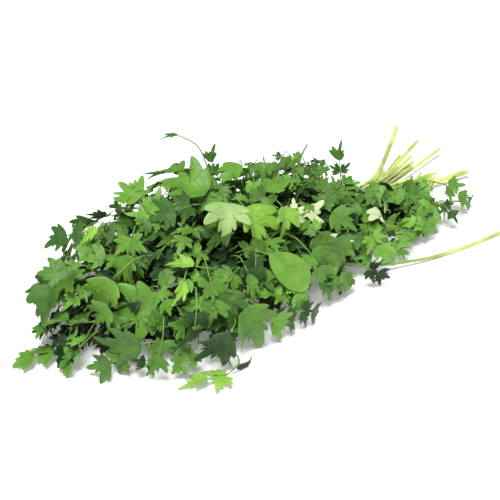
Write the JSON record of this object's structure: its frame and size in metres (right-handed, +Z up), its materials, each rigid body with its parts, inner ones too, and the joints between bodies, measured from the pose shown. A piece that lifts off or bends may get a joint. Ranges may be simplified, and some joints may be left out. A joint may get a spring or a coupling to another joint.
{
  "type": "coriander bunch",
  "caption": "Loose bunch of fresh coriander lying on its side: slim stalks gathered at a waist, fanned cut ends, and a heap of lobed green leaves; a kitchen herb.",
  "frame": {"origin": "bottom centre of the bounding box, on the surface the bunch lies on", "axes": "+X along the bunch towards the cut stalk ends, +Y towards the bunch's far side, +Z up"},
  "size_m": [0.3606, 0.1582, 0.078],
  "materials": {
    "stalk": "fresh yellow-green stalk, smooth, faintly ridged, satin",
    "leaf_mid": "fresh leaf, middle green, satin",
    "leaf_light": "fresh young leaf, bright yellow-green, satin",
    "leaf_dark": "older leaf, dark green, satin",
    "leaf_pale": "leaf showing its pale underside, matt"
  },
  "bodies": {
    "root": {"leaf_arc_left": "leaf_mid", "leaf_back_left": "leaf_dark", "leaf_back_middle": "leaf_dark", "leaf_back_right": "leaf_dark", "leaf_back_upper": "leaf_mid", "leaf_back_waist": "leaf_mid", "leaf_big_top": "leaf_light", "leaf_bright_fan": "leaf_light", "leaf_curl_tip": "leaf_mid", "leaf_dark_top": "leaf_dark", "leaf_down_inner": "leaf_mid", "leaf_down_outer": "leaf_dark", "leaf_dull_middle": "leaf_dark", "leaf_edge_left": "leaf_mid", "leaf_far_left": "leaf_dark", "leaf_far_right": "leaf_mid", "leaf_feather_a": "leaf_mid", "leaf_feather_b": "leaf_mid", "leaf_feather_c": "leaf_mid", "leaf_finger": "leaf_light", "leaf_folded_fan": "leaf_mid", "leaf_grey_fan": "leaf_pale", "leaf_ground_back": "leaf_dark", "leaf_ground_left": "leaf_mid", "leaf_ground_near": "leaf_light", "leaf_left_fan": "leaf_light", "leaf_left_midrib": "leaf_mid", "leaf_left_pair": "leaf_mid", "leaf_left_smooth": "leaf_mid", "leaf_low_right": "leaf_dark", "leaf_narrow_middle": "leaf_light", "leaf_narrow_near": "leaf_mid", "leaf_near_fan": "leaf_light", "leaf_near_low": "leaf_dark", "leaf_near_right": "leaf_mid", "leaf_pale_curl": "leaf_pale", "leaf_pale_turned": "leaf_pale", "leaf_round_right": "leaf_light", "leaf_small_left": "leaf_dark", "leaf_spiky": "leaf_mid", "leaf_tips_down": "leaf_mid", "leaf_triangle": "leaf_light", "leaf_upright": "leaf_mid", "leaf_waist_near": "leaf_light", "leaf_yellow_left": "leaf_light", "leaf_yellow_middle": "leaf_light", "stalk_01": "stalk", "stalk_02": "stalk", "stalk_03": "stalk", "stalk_04": "stalk", "stalk_05": "stalk", "stalk_06": "stalk", "stalk_07": "stalk", "stalk_08": "stalk", "stalk_09": "stalk", "stalk_10": "stalk", "stalk_11": "stalk", "stalk_12": "stalk", "stalk_lone": "stalk"}
  },
  "joints": []
}
